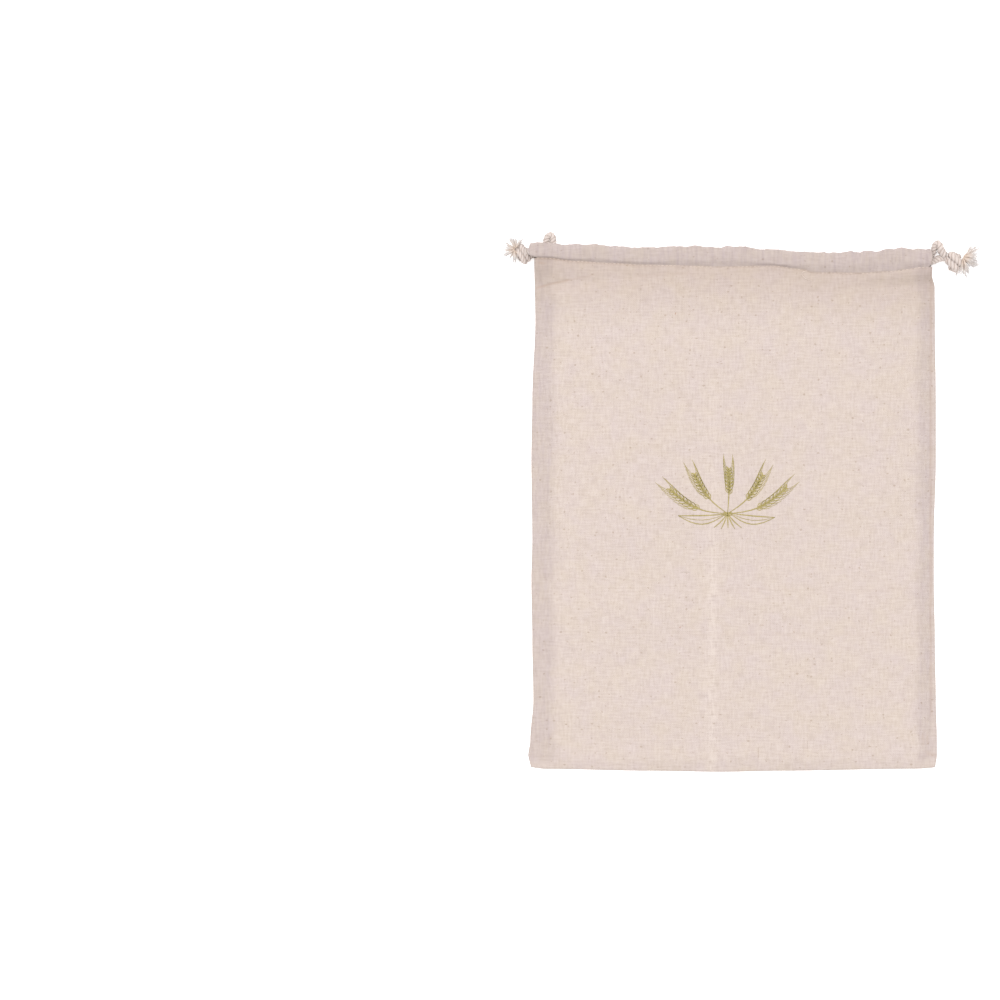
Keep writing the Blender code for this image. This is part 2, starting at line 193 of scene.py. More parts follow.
def put(name, points, faces, material, slot, uv=None, **marks):
    """A smooth mesh that rides on the bag, from points in millimetres. uv has a row for each corner of
    each face, in face order, and each of marks is a number for each point."""
    mesh = bpy.data.meshes.new(name)
    mesh.from_pydata((np.asarray(points) * MM).tolist(), [], [list(face) for face in faces])
    mesh.shade_smooth()
    mesh.materials.append(material)
    if uv is not None:
        mesh.uv_layers.new(name="flat").data.foreach_set("uv", np.asarray(uv, np.float32).ravel())
    for mark, values in marks.items():
        made = mesh.attributes.new(mark, "FLOAT", "POINT")
        made.data.foreach_set("value", np.asarray(values, np.float32).ravel())
    piece = bpy.data.objects.new(name, mesh)
    bpy.context.collection.objects.link(piece)
    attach(piece, "root")
    return piece


def carried_frames(place):
    """The direction of a path at each of its points, and two directions across it that turn no more
    than the path does: each is the last one with its part along the path taken out."""
    ahead = np.gradient(place, axis=0)
    ahead /= np.linalg.norm(ahead, axis=1, keepdims=True)
    side = np.empty_like(ahead)
    last = np.cross(ahead[0], (0.05, 0.02, 1.0))
    for k, run in enumerate(ahead):
        last = last - run * last.dot(run)
        last /= np.linalg.norm(last)
        side[k] = last
    return ahead, side, np.cross(ahead, side)


def laid_cord(path, sides=CORD_SIDES, lay=CORD_LAY):
    """Points, faces and flat coordinates of a cord of three strands along rows of x, y, z, radius. At
    angle a from its nearest strand the section reaches b cos a + sqrt(s s - b b sin a sin a), where s
    is a strand's share of the radius and b is the rest, and the whole section turns once in each lay."""
    place, radius = path[:, :3], path[:, 3:]
    _, side, lift = carried_frames(place)
    gone = np.concatenate([[0], np.cumsum(np.linalg.norm(np.diff(place, axis=0), axis=1))])
    around = np.linspace(0, 2 * np.pi, sides, endpoint=False)
    strand = (around + np.pi / 3) % (2 * np.pi / 3) - np.pi / 3
    rest = 1 - STRAND_SHARE
    reach = rest * np.cos(strand) + np.sqrt(STRAND_SHARE**2 - (rest * np.sin(strand)) ** 2)
    turned = around[None, :] + 2 * np.pi * gone[:, None] / lay
    spoke = np.cos(turned)[..., None] * side[:, None] + np.sin(turned)[..., None] * lift[:, None]
    points = place[:, None] + spoke * (reach * radius)[..., None]
    index = np.arange(points[..., 0].size).reshape(points.shape[:2])
    walls = quads(np.concatenate([index, index[:, :1]], axis=1))
    row, column = np.indices((len(path) - 1, sides))
    across, along = column / sides * CORD_DIAMETER * np.pi, gone[row]
    step, ahead = CORD_DIAMETER * np.pi / sides, gone[row + 1]
    flat = np.stack([across, along, across + step, along, across + step, ahead, across, ahead], axis=-1)
    ends = [index[0, ::-1].tolist(), index[-1].tolist()]
    uv = np.concatenate([flat.reshape(-1, 2) * MM, np.zeros((2 * sides, 2))])
    # How deep in the grooves between strands each point lies; it sets how much painted shade the point gets.
    groove = np.broadcast_to((1 - reach) / (1 - reach.min()), points.shape[:2])
    return points.reshape(-1, 3), walls.tolist() + ends, uv, groove.ravel()


def cotton(name):
    """Undyed spun cotton, loosely twisted: matt and soft, each strand a sheaf of fine yarns that run aslant,
    with painted warm grey shade in the grooves between strands and a few paler and darker yarns. Yarn is 0.4
    mm wide, which is as coarse as it needs to be to show."""
    made, tree, shader = surface(name, COTTON, 0.95)
    flat = add(tree, "UVMap", uv_map="flat")
    slant = add(tree, "Mapping", {"Vector": flat, "Rotation": (0, 0, math.atan(YARN_LAY / CORD_LAY))})
    stretched = add(tree, "Mapping", {"Vector": slant, "Scale": (1.0, 0.12, 1.0)})
    yarns = add(tree, "TexNoise", {"Vector": stretched, "Scale": 1 / (YARN_WIDTH * MM), "Detail": 3.0})
    body = add(tree, "TexCoord")
    cloud = add(tree, "TexNoise", {"Vector": body.outputs["Object"], "Scale": 160.0, "Detail": 2.0})
    groove = add(tree, "Attribute", attribute_name="groove")
    tone = add(tree, "MixRGB", {0: yarns, 1: linear(COTTON_SHADE), 2: linear(COTTON)})
    warm = add(tree, "MixRGB", {0: cloud, 1: tone, 2: linear(COTTON_PALE)}, blend_type="SOFT_LIGHT")
    # Painted shade in the grooves between the strands, strongest at their bottoms.
    depth = add(tree, "Math", {0: groove.outputs["Fac"], 1: 2.0}, operation="POWER")
    part = add(tree, "Math", {0: depth, 1: GROOVE_SHADE_SHARE}, operation="MULTIPLY")
    colour = add(tree, "MixRGB", {0: part, 1: warm, 2: linear(COTTON_GROOVE_SHADE)})
    bump = add(tree, "Bump", {"Height": yarns, "Strength": 0.7, "Distance": 0.25 * MM})
    tree.links.new(colour.outputs[0], shader.inputs["Base Color"])
    tree.links.new(bump.outputs[0], shader.inputs["Normal"])
    shader.inputs["Sheen Weight"].default_value = 0.25
    shader.inputs["Sheen Roughness"].default_value = 0.6
    shader.inputs["Specular IOR Level"].default_value = 0.2
    return made


def in_channel(below, z, leftwards):
    """Route rows through a channel, a fixed distance below its top fold."""
    places = [-112, -96, -80, -64, -48, -32, -16, 0, 16, 32, 48, 64, 80, 96, 112]
    rows = [(x, float(eased(TOP, np.array(x))) - below, z, HELD) for x in places]
    return rows[::-1] if leftwards else rows


def spaced(path, free_step=1.0, held_step=1.6):
    """The rows of a fine path where a cord's rings go: closer together where it is free and bends."""
    lengths = np.linalg.norm(np.diff(path[:, :3], axis=0), axis=1)
    steps = np.where(path[1:, 3] > HELD + 0.02, free_step, held_step)
    share = np.concatenate([[0], np.cumsum(lengths / steps)])
    at = np.linspace(0, share[-1], int(share[-1]) + 1)
    return np.stack([np.interp(at, share, path[:, column]) for column in range(4)], axis=1)


ROUTES = {  # x, y, z and radius of each cord's middle, from its knot through both channels and back
    "left": [
        (-155.4, 192.4, 8.0, FREE),
        (-151.8, 191.4, 9.8, FREE),
        (-146.5, 190.6, 12.2, 2.4),
        (-139.0, 190.6, 14.4, EASED),
        (-130.0, 192.2, 15.6, EASED),
        (-121.0, 193.6, HIGH_STRAND, HELD),
        *in_channel(STRAND_UPPER, HIGH_STRAND, False),
        (120.0, 190.1, HIGH_STRAND, EASED),
        (127.0, 189.2, 15.75, EASED),
        (132.6, 188.2, 14.0, BENT),
        (135.0, 187.9, 9.6, BENT),
        (132.6, 188.2, 5.2, BENT),
        (127.0, 189.2, 3.4, EASED),
        (120.0, 190.1, LOW_STRAND, EASED),
        *in_channel(STRAND_UPPER, LOW_STRAND, True),
        (-121.0, 193.6, LOW_STRAND, HELD),
        (-130.0, 193.1, 3.3, HELD),
        (-137.0, 191.6, 3.5, EASED),
        (-143.5, 190.0, 3.9, 2.3),
        (-149.0, 189.2, 4.1, FREE),
        (-154.6, 188.8, 3.7, FREE),
    ],
    "right": [
        (161.4, 186.2, 6.2, FREE),
        (157.4, 187.0, 7.2, 2.8),
        (153.4, 186.0, 9.0, 2.8),
        (147.6, 183.5, 11.0, FREE),
        (140.0, 183.4, 12.6, BENT),
        (133.0, 183.5, 14.1, EASED),
        (126.5, 184.5, 15.4, EASED),
        (120.0, 185.9, HIGH_STRAND, HELD),
        *in_channel(STRAND_LOWER, HIGH_STRAND, True),
        (-119.5, 189.0, HIGH_STRAND, EASED),
        (-124.0, 188.4, 14.8, EASED),
        (-128.5, 188.1, 12.7, BENT),
        (-134.0, 188.6, 10.6, BENT),
        (-138.2, 191.6, 9.55, BENT_FREE),
        (-139.7, 196.0, 9.55, BENT_FREE),
        (-139.6, 200.4, 9.55, BENT_FREE),
        (-138.5, 203.1, 9.55, BENT_FREE),
        (-136.7, 204.0, 9.55, BENT_FREE),
        (-134.9, 202.7, 9.55, BENT_FREE),
        (-134.6, 199.4, 9.9, BENT_FREE),
        (-134.6, 195.2, 9.9, BENT_FREE),
        (-132.0, 192.0, 8.2, BENT),
        (-129.6, 189.4, 5.9, EASED),
        (-125.5, 188.7, 4.0, EASED),
        (-119.5, 189.2, LOW_STRAND, HELD),
        *in_channel(STRAND_LOWER, LOW_STRAND, False),
        (120.0, 185.9, LOW_STRAND, HELD),
        (128.0, 184.2, LOW_STRAND, HELD),
        (136.0, 183.6, 3.4, EASED),
        (142.5, 184.4, 4.2, 2.4),
        (147.3, 187.2, 6.2, 2.5),
        (149.9, 190.6, 9.0, 2.3),
        (150.6, 194.1, 9.8, 2.4),
        (151.6, 196.9, 10.4, FREE),
        (153.4, 197.8, 10.9, 2.8),
        (154.9, 196.0, 11.2, 3.0),
        (155.7, 192.4, 11.0, 3.3),
        (158.6, 188.8, 9.6, 3.1),
    ],
}
cord_cotton = cotton("undyed three-strand cotton cord, laid")
cords, centrelines = {}, {}
for hand, route in ROUTES.items():
    middle = spaced(curve_through(route))
    points, faces, uv, groove = laid_cord(middle)
    cords[hand] = put(f"{hand}_cord", points, faces, cord_cotton, "cotton_cord", uv, groove=groove)
    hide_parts(f"{hand}_drawcord")
    centrelines[hand] = middle[:, :3] * MM

# Knots. The two ends of each cord are tied together in one tight overhand knot. It shows as plump
# slanting wraps with deep hollows between them.
KNOTS = {  # centre x, y, z, direction of its axis, wraps, half width along a wrap, height, step, cord
    "left": (-156.7, 190.2, 5.6, 40.0, 2.6, 5.6, 2.8, 3.5, 2.0),
    "right": (165.6, 184.2, 5.7, 60.0, 2.2, 4.2, 2.9, 5.0, 2.75),
}
KNOT_LAY = 8.0


def ramp(value, start, end):
    """0 before start, 1 past end and a smooth S between them."""
    t = np.clip((value - start) / (end - start), 0, 1)
    return t * t * (3 - 2 * t)


def wraps(name):
    """The middle line of a knot's wraps: an oval helix round the knot's axis, whose first and last
    quarter turns close in on the axis."""
    x, y, z, heading, turns, half, deep, step, radius = KNOTS[name]
    a = np.linspace(-0.62 * math.pi, (2 * turns - 0.62) * math.pi, 120)
    share = (a - a[0]) / (a[-1] - a[0])
    closing = np.minimum(ramp(share, 0, 0.14), ramp(share, 1, 0.86))
    along = (share - 0.5) * turns * step
    across, up = half * np.cos(a) * (0.45 + 0.55 * closing), deep * np.sin(a)
    turn = math.radians(heading)
    return np.stack(
        [
            x + along * math.cos(turn) + across * math.sin(turn),
            y + along * math.sin(turn) - across * math.cos(turn),
            z + up,
            radius * (0.8 + 0.2 * closing),
        ],
        axis=1,
    )


for hand in KNOTS:
    points, faces, uv, groove = laid_cord(spaced(wraps(hand), 0.6, 0.6), lay=KNOT_LAY)
    put(f"{hand}_knot_wraps", points, faces, cord_cotton, "cotton_cord", uv, groove=groove)
    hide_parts(f"{hand}_knot")

# Frayed ends. Past its knot each cord has come apart into tufts of yarn, which spread in a soft brush.
BRUSHES = {  # root x, y, z, middle direction, spread to each side, tufts, shortest, longest, yarn radius
    "left": (-163.4, 193.2, 8.2, 176.0, 178.0, 30, 5.6, 10.2, 0.5),
    "right": (172.6, 187.2, 8.0, -30.0, 90.0, 29, 9.0, 16.0, 0.36),
}
YARNS_IN_TUFT = 5
YARN_SIDES = 5
YARN_RINGS = 8
ROOT_ROOM = 1.5
YARN_ROOT = "#c1ad9d"
YARN_TIP = "#c0bdbc"
YARN_PALE = "#d9d3ce"


def tubes(place, thick, sides):
    """Points, faces and share of the length of many thin tubes at once. place holds each one's rings in
    order, and thick the radius there. No tube stands upright."""
    ahead = np.gradient(place, axis=1)
    ahead /= np.linalg.norm(ahead, axis=2, keepdims=True)
    side = np.cross(ahead, (0.0, 0.0, 1.0))
    side /= np.linalg.norm(side, axis=2, keepdims=True)
    up = np.cross(side, ahead)
    around = np.linspace(0, 2 * np.pi, sides, endpoint=False)[:, None]
    ring = np.cos(around) * side[:, :, None] + np.sin(around) * up[:, :, None]
    points = place[:, :, None] + ring * thick[..., None, None]
    index = np.arange(points[..., 0].size).reshape(points.shape[:3])
    closed = np.concatenate([index, index[..., :1]], axis=2)
    corners = closed[:, :-1, :-1], closed[:, 1:, :-1], closed[:, 1:, 1:], closed[:, :-1, 1:]
    walls = np.stack(corners, axis=-1).reshape(-1, 4)[:, ::-1].tolist()
    ends = np.concatenate([index[:, 0, ::-1], index[:, -1]]).tolist()
    share = np.broadcast_to(np.linspace(0, 1, place.shape[1])[None, :, None], index.shape)
    return points.reshape(-1, 3), walls + ends, share.ravel()


def brush(name):
    """Tapering yarns from one root. The headings of the tufts fill a fan evenly by the golden angle. A
    tuft's yarns keep close together, and each bends aside with the square of its length and sags."""
    x, y, z, heading, spread, tufts, shortest, longest, radius = BRUSHES[name]
    chance = np.random.default_rng(len(name))
    tuft = np.repeat(np.arange(tufts), YARNS_IN_TUFT)
    count = len(tuft)
    out = np.sqrt((tuft + 0.5) / tufts)
    swing, tilt = out * np.cos(tuft * 2.39996), out * np.sin(tuft * 2.39996)
    reach = chance.random(tufts)[tuft]
    length = (shortest + (longest - shortest) * reach) * (0.85 + 0.15 * chance.random(count))
    aim = np.radians(heading + spread * swing + chance.normal(0, 3.2, count))
    rise = np.radians(40 * tilt)
    t = np.linspace(0, 1, YARN_RINGS)[None, :]
    ahead = np.stack([np.cos(aim) * np.cos(rise), np.sin(aim) * np.cos(rise), np.sin(rise)], axis=-1)
    beside = np.stack([-np.sin(aim), np.cos(aim), 0 * aim], axis=-1)
    middle = math.radians(heading)
    root = np.stack([-math.sin(middle) * swing, math.cos(middle) * swing, tilt], axis=-1) * ROOT_ROOM
    curl = chance.normal(0, 0.14, tufts)[tuft] + chance.normal(0, 0.05, count)
    wave = 0.06 * np.sin(t * 7 + 6 * chance.random(count)[:, None])
    place = root[:, None] + np.array([x, y, z]) + ahead[:, None] * (length[:, None] * t)[..., None]
    place = place + beside[:, None] * (length[:, None] * (curl[:, None] * t * t + wave * t))[..., None]
    place[..., 2] = np.maximum(place[..., 2] - 0.3 * length[:, None] * t * t, 0.5)
    thick = radius * (1 - 0.6 * t) * (0.8 + 0.4 * chance.random(count)[:, None])
    return tubes(place, thick, YARN_SIDES)


def frayed_cotton():
    """Combed-out cotton yarn: warm cream where it is packed at the root, pale grey at its thin tips."""
    made, tree, shader = surface("frayed undyed cotton yarn, untwisted", COTTON, 0.95)
    share = add(tree, "Attribute", attribute_name="share")
    place = add(tree, "TexCoord")
    cloud = add(tree, "TexNoise", {"Vector": place.outputs["Object"], "Scale": 900.0, "Detail": 2.0})
    tone = add(tree, "MixRGB", {0: share.outputs["Fac"], 1: linear(YARN_ROOT), 2: linear(YARN_TIP)})
    colour = add(tree, "MixRGB", {0: cloud, 1: tone, 2: linear(YARN_PALE)}, blend_type="SOFT_LIGHT")
    tree.links.new(colour.outputs[0], shader.inputs["Base Color"])
    shader.inputs["Sheen Weight"].default_value = 0.3
    shader.inputs["Specular IOR Level"].default_value = 0.2
    return made


frayed = frayed_cotton()
for hand in BRUSHES:
    points, faces, share = brush(hand)
    brushed = put(f"{hand}_frayed_ends", points, faces, frayed, "cotton_cord", share=share)

# Bag cloth. One length of unbleached linen and cotton, plainly woven, is folded at the bottom and seamed
# inside both edges. Its two ends are turned in and stitched down as the channels, which gather a little. It
# lies empty on its back. Where four layers lie together, it looks greyer. Painted shade darkens it along the
# bottom fold, below the front channel, in its creases and along the stitched line.
CLOTH_THICK = 0.7
INSET = 1.4
RIM_OUT = 0.9
SIDES = [  # y, left edge x, right edge x
    (-195.4, -151.5, 152.2),
    (-185.6, -153.4, 153.4),
    (-174.4, -151.9, 153.4),
    (-144.4, -149.6, 152.6),
    (-99.4, -150.4, 151.9),
    (-54.4, -151.1, 151.1),
    (-24.4, -150.4, 151.1),
    (35.6, -151.1, 152.6),
    (80.6, -150.4, 152.6),
    (140.6, -148.1, 151.9),
    (165.0, -148.5, 151.6),
    (174.0, -148.8, 149.4),
    (180.0, -148.9, 149.4),
]
BOTTOM = [  # x, y of the bottom fold
    (-152.0, -195.0),
    (-140.0, -196.2),
    (-62.0, -197.6),
    (-9.4, -198.4),
    (35.6, -197.6),
    (137.0, -196.1),
    (152.0, -195.2),
]
STITCHING = [  # x, y of the line where the front channel is stitched down
    (-152.0, 186.8),
    (-140.0, 186.5),
    (-117.0, 184.1),
    (-92.0, 182.5),
    (-64.0, 181.2),
    (-5.0, 179.9),
    (30.0, 180.6),
    (50.0, 178.1),
    (62.0, 175.4),
    (98.0, 175.2),
    (112.0, 176.2),
    (149.0, 180.0),
]
PUCKERS = [  # x, how far the top fold stands out where the cords gather it
    (-152.0, 0.0),
    (-148.0, 0.3),
    (-132.0, 0.0),
    (-125.0, -0.4),
    (-116.0, 0.4),
    (-109.5, -0.4),
    (-104.0, 0.4),
    (-98.0, 0.1),
    (-93.0, -0.4),
    (-88.0, 0.2),
    (-79.0, -0.1),
    (-68.0, -0.2),
    (-62.0, 0.4),
    (-56.5, -0.2),
    (-48.5, 0.6),
    (-41.0, 0.1),
    (-34.0, 0.0),
    (-28.0, 1.0),
    (-21.0, 0.1),
    (-9.0, -0.5),
    (-5.5, 0.8),
    (0.0, 0.1),
    (7.5, 0.4),
    (14.0, -0.3),
    (17.0, 0.0),
    (21.5, -0.7),
    (28.0, 0.3),
    (44.0, 0.1),
    (48.0, -0.3),
    (56.0, 0.0),
    (62.0, -0.4),
    (68.0, 0.4),
    (72.0, -0.3),
    (76.0, 0.1),
    (80.0, -0.1),
    (87.0, 0.8),
    (93.5, -0.6),
    (99.0, 0.9),
    (104.0, -0.1),
    (108.0, -0.8),
    (115.0, 0.8),
    (120.0, 0.1),
    (126.0, 0.5),
    (133.0, -0.4),
    (139.0, 0.2),
    (145.0, -0.6),
    (149.0, -0.6),
]
CROWN = [  # y, height of the front cloth's middle along the bag
    (-197.0, 2.1),
    (-183.0, 3.4),
    (-150.0, 6.1),
    (-60.0, 10.7),
    (20.0, 13.3),
    (110.0, 14.1),
    (182.0, 14.4),
]
EDGE = [(-197.0, 2.1), (130.0, 2.1), (165.0, 7.0), (184.0, 14.4)]  # y, height of the front at its sides
CROWN_POWER = 3.5
FOLDS = [  # from x, y, to x, y, half width, height
    (-15.4, 95.0, -15.4, -196.0, 6.0, 0.35),
    (-146.0, 165.0, -55.0, 174.0, 3.5, -0.4),
    (-140.0, 156.0, -60.0, 166.0, 6.0, 0.4),
    (62.0, 172.0, 118.0, 170.0, 6.0, 0.4),
    (-120.0, -60.0, 95.0, -62.0, 9.0, -0.4),
    (-60.0, 60.0, 110.0, 40.0, 12.0, 0.3),
]
CREASES = [  # half width, height, how much painted shade lies in it, places that it runs through
    (0.9, -0.35, 0.85, [(-145.6, 164.8), (-136.0, 167.6), (-124.0, 170.2)]),
    (0.9, -0.2, 0.4, [(-124.0, 170.2), (-114.0, 172.2), (-106.0, 173.4)]),
    (1.2, -0.15, 0.22, [(-74.0, 173.0), (-53.0, 174.8), (-33.0, 175.0)]),
    (1.0, -0.3, 0.8, [(-144.6, 183.1), (-142.2, 182.9)]),
    (0.8, -0.4, 0.7, [(148.6, 184.0), (148.5, 120.0), (148.4, 20.0), (148.3, -80.0), (148.6, -156.0)]),
    (0.8, -0.2, 0.7, [(142.5, -171.0), (142.9, -176.4)]),
    (0.8, -0.2, 0.7, [(145.8, -171.4), (146.2, -176.0)]),
    (1.6, -0.1, 0.5, [(147.0, -184.6), (151.0, -185.4)]),
    (1.1, 0.0, 0.16, [(-10.4, -60.8), (60.0, -61.2), (149.0, -61.4)]),
    (1.1, 0.0, 0.12, [(-40.0, -94.6), (40.0, -95.2), (120.0, -94.8)]),
]
SWELLS = [  # length of a wave, direction in degrees, place in the wave, height
    (93.0, 12.0, 0.4, 0.34),
    (61.0, 97.0, 2.1, 0.26),
    (47.0, 38.0, 4.0, 0.2),
    (34.0, 151.0, 1.2, 0.13),
    (26.0, 80.0, 5.1, 0.07),
]
GATHERS = [(13.0, 2.9, 0.16), (7.1, 4.4, 0.14), (4.9, 1.5, 0.1)]  # wave, place, height
STITCH_RISE, LEAF_RISE = 2.3, 0.9
SECTION = [  # distance below the top fold, height over the channel's flat side
    (10.9, 5.1),
    (8.3, 5.7),
    (4.6, 5.7),
    (2.2, 4.7),
    (0.85, 3.4),
    (0.5, 2.2),
    (0.95, 0.8),
    (2.2, 0.0),
    (5.0, 0.0),
    (8.3, 0.0),
]
SHOULDER = (1.0, 3.0)
CHANNEL_RISE = 5.7
LEAF_WHOLE, LEAF_GONE, LEAF_SEWN = 0.75, 0.833, 0.667
LIP_BELOW, LIP_RISE, LIP_CLIMB, LIP_STEPS = 2.2, 4.9, 0.3, (0.12, 0.35)
FRONT_ENDS = (-152.9, 149.1)
BACK_ENDS = (-150.5, 154.2)
FRONT_ROUND, BACK_ROUND = 2.4, 5.5
BACK_DROOP = 5.6
COLUMNS, ROWS, BACK_EVERY = 168, 208, 4
ROW_PLACES = [(0, 0.0), (12, 0.03), (160, 0.915), (208, 1.0)]  # row, share of the way up the front
CHANNEL_STEPS = 3
RIM_TURNS = (64, 34, 0, -34, -64)
SEAM_BANDS = (-134.2, 138.4)
BAND_SHARE = 0.69
STITCH_SHADE = [  # x, how much painted shade lies along the front's stitched line
    (-150.0, 0.3),
    (-144.0, 0.9),
    (-134.0, 0.9),
    (-120.0, 0.6),
    (-92.0, 0.55),
    (-62.0, 0.45),
    (-56.0, 0.2),
    (-6.0, 0.15),
    (-2.0, 0.4),
    (30.0, 0.35),
    (42.0, 0.25),
    (58.0, 0.5),
    (98.0, 0.5),
    (108.0, 0.25),
    (118.0, 0.08),
    (149.0, 0.04),
]
THREAD = 0.75
THREADS = [  # name, how far its noise runs across and along the bag, detail
    ("weft", 9.0, 1.3, 2.0),
    ("warp", 1.5, 8.0, 2.0),
    ("bits", 2.6, 2.2, 0.0),
    ("stripes", 2.4, 26.0, 2.0),
]
LINEN_WARM, LINEN_COOL = "#beb0a5", "#bdafa9"
LINEN_LAYERED_AND_FOLD_SHADE = "#eeedef"
LINEN_STRIPED = "#f6f5f9"
# Painted shade for the cloth below the front channel.
LINEN_SHADED = "#f3f0ed"
LINEN_WORN = "#c9bcb3"
# Painted shade for the creases, seam lines and stitched line.
LINEN_CREASE_SHADE = "#a58f80"
LINEN_SLUB_DARK, LINEN_SLUB_PALE = "#a8998f", "#cdc1b9"
LINEN_SHIVE = "#94806e"


def near_line(x, y, points, width):
    """How near each place is to the line through some points, 1 on it: the bell curve of the distance
    over the half width, twice as long past the line's ends."""
    near = np.zeros_like(x)
    for (x0, y0), (x1, y1) in zip(points, points[1:]):
        length = math.hypot(x1 - x0, y1 - y0)
        along = ((x - x0) * (x1 - x0) + (y - y0) * (y1 - y0)) / length
        off = ((x - x0) * (y1 - y0) - (y - y0) * (x1 - x0)) / length
        past = np.maximum(np.maximum(-along, along - length), 0)
        near = np.maximum(near, np.exp(-((off / width) ** 2) - (past / (2 * width)) ** 2))
    return near


def gathered(x):
    """The small upright folds that the cords pull into a channel: the puckers seen along the top fold
    and a few sine waves of unlike lengths."""
    waves = sum(height * np.sin(2 * np.pi * x / wave + place) for wave, place, height in GATHERS)
    return eased(PUCKERS, x) + waves


def stitched(x, droop=0.0):
    """Where a channel is stitched down. The back one's line droops at the right end."""
    return eased(STITCHING, x) - droop * ramp(x, 127.0, 149.0)


def front_height(x, y):
    """Height of the front cloth: an arch across the bag whose crown rises to the mouth, plus its folds
    and creases, slow swells, raised seam allowances and the gathers that fade below the stitching."""
    left, right = eased(SIDES, y, 1) + INSET, eased(SIDES, y, 2) - INSET
    across = np.abs(np.clip(2 * (x - left) / (right - left) - 1, -1, 1))
    below = np.maximum(stitched(x) - y, 0)
    edge = eased(EDGE, y)
    z = edge + (eased(CROWN, y) - edge) * (1 - across**CROWN_POWER)
    relief = sum(high * near_line(x, y, [(x0, y0), (x1, y1)], wide) for x0, y0, x1, y1, wide, high in FOLDS)
    for wide, high, _, points in CREASES:
        relief = relief + high * near_line(x, y, points, wide)
    for wave, turn, place, high in SWELLS:
        way = x * math.cos(math.radians(turn)) + y * math.sin(math.radians(turn))
        relief = relief + high * np.sin(2 * np.pi * way / wave + place)
    left_seam, right_seam = SEAM_BANDS
    allowance = ramp(x, left_seam + 1.5, left_seam - 1.5) + ramp(x, right_seam - 1.5, right_seam + 1.5)
    relief = relief + 0.3 * allowance + 0.4 * gathered(x) * np.exp(-below / 12)
    fade = np.clip((1 - across) / 0.05, 0, 1) * np.clip((y + 197) / 9, 0, 1)
    z = z + relief * fade
    held = np.exp(-((below / 7.5) ** 2))
    return z * (1 - held) + (FRONT_LEAF + STITCH_RISE + 0.3 * gathered(x)) * held


def body_plan(droop):
    """Places of a grid over the bag: rows from the bottom fold up to the stitching, closer together at
    both, and columns from edge to edge, closer together at the edges."""
    even = np.linspace(-1, 1, COLUMNS + 1)
    across = (0.55 * even + 0.45 * np.sin(np.pi * even / 2))[None, :]
    up = np.interp(np.arange(ROWS + 1), *zip(*ROW_PLACES))[:, None]
    x = across * 150.0 + 0 * up
    bottom = eased(BOTTOM, x) + INSET
    y = bottom + (stitched(x, droop) - bottom) * up
    left, right = eased(SIDES, y, 1) + INSET, eased(SIDES, y, 2) - INSET
    return left + (right - left) * (across + 1) / 2, y


def blended(rows, steps):
    """A table's rows and the rows between them on a smooth curve, the same cubic as a cord's."""
    rows = np.concatenate([rows[:1], rows, rows[-1:]])
    t = np.linspace(0, 1, steps, endpoint=False).reshape(-1, *[1] * (rows.ndim - 1))
    spans = []
    for a, b, c, d in zip(rows, rows[1:], rows[2:], rows[3:]):
        ease = 0.5 * (2 * b + (c - a) * t + (2 * a - 5 * b + 4 * c - d) * t**2)
        spans.append(ease + 0.5 * (3 * b - a - 3 * c + d) * t**3)
    return np.concatenate([*spans, rows[-1:]])


def channel(x_stitch, y_stitch, ends, end_round, outer_first):
    """A channel's cloth from its stitching over the top fold and back down inside, by the rows of
    SECTION. Near each end the inner leaf is only a lip, so that the cords can leave, and the ends are
    rounded by a circle's sagitta. The gathers lift the outer leaf and wave the fold."""
    flat = FRONT_LEAF if outer_first else BACK_WALL
    depth = eased(TOP, x_stitch) - y_stitch
    none = 0 * depth
    across = (x_stitch - x_stitch[0]) / (x_stitch[-1] - x_stitch[0])
    out = 2 * across - 1
    held = np.clip((LEAF_GONE - np.abs(out)) / (LEAF_GONE - LEAF_WHOLE), 0, 1)
    sewn = np.clip((LEAF_WHOLE - np.abs(out)) / (LEAF_WHOLE - LEAF_SEWN), 0, 1)
    shoulder = [(depth - SHOULDER[0], SHOULDER[1] + none)]
    section = [(np.minimum(a, depth - 1.6), b + none) for a, b in SECTION]
    leaf_end = [(depth, none + (STITCH_RISE - LEAF_RISE if outer_first else LEAF_RISE))]
    rows = shoulder + section if outer_first else section[::-1] + shoulder
    rows = rows + leaf_end
    turned = [k for k, (a, _) in enumerate(rows) if a[0] < LIP_BELOW + 0.1][-1]
    table = [np.stack([depth, none + (STITCH_RISE if outer_first else 0), none], axis=-1)]
    for k, (below, rise) in enumerate(rows):
        lip = k - turned
        if lip > 0:
            short = LIP_BELOW + LIP_STEPS[0 if outer_first else 1] * lip
            below = short + (below - short) * held
            if not outer_first:
                lip_rise = min(CHANNEL_RISE, LIP_RISE + LIP_CLIMB * lip)
                rise = sewn * rise + (1 - sewn) * (held * CHANNEL_RISE + (1 - held) * lip_rise)
        table.append(np.stack([below, rise, none + min(1.0, 0.4 + 0.3 * k)], axis=-1))
    below, rise, flare = np.moveaxis(blended(np.array(table), CHANNEL_STEPS)[1:], -1, 0)
    x_end = ends[0] + (ends[1] - ends[0]) * across
    bow = np.clip(2 * below / depth - 1, -0.97, 0.97)
    x = x_stitch + (x_end - x_stitch) * flare
    x = x - np.sign(out) * end_round * (1 - np.sqrt(1 - bow**2)) * ramp(np.abs(out), 0.93, 1.0)
    fold = np.exp(-((below / 3.0) ** 2))
    rise = rise + 0.55 * gathered(x) * ramp(rise, 2.0, 5.0) * (1 if outer_first else 0.3)
    y = eased(TOP, x_stitch) - below + gathered(x) * fold
    return np.stack([x, y, flat + rise], axis=-1)


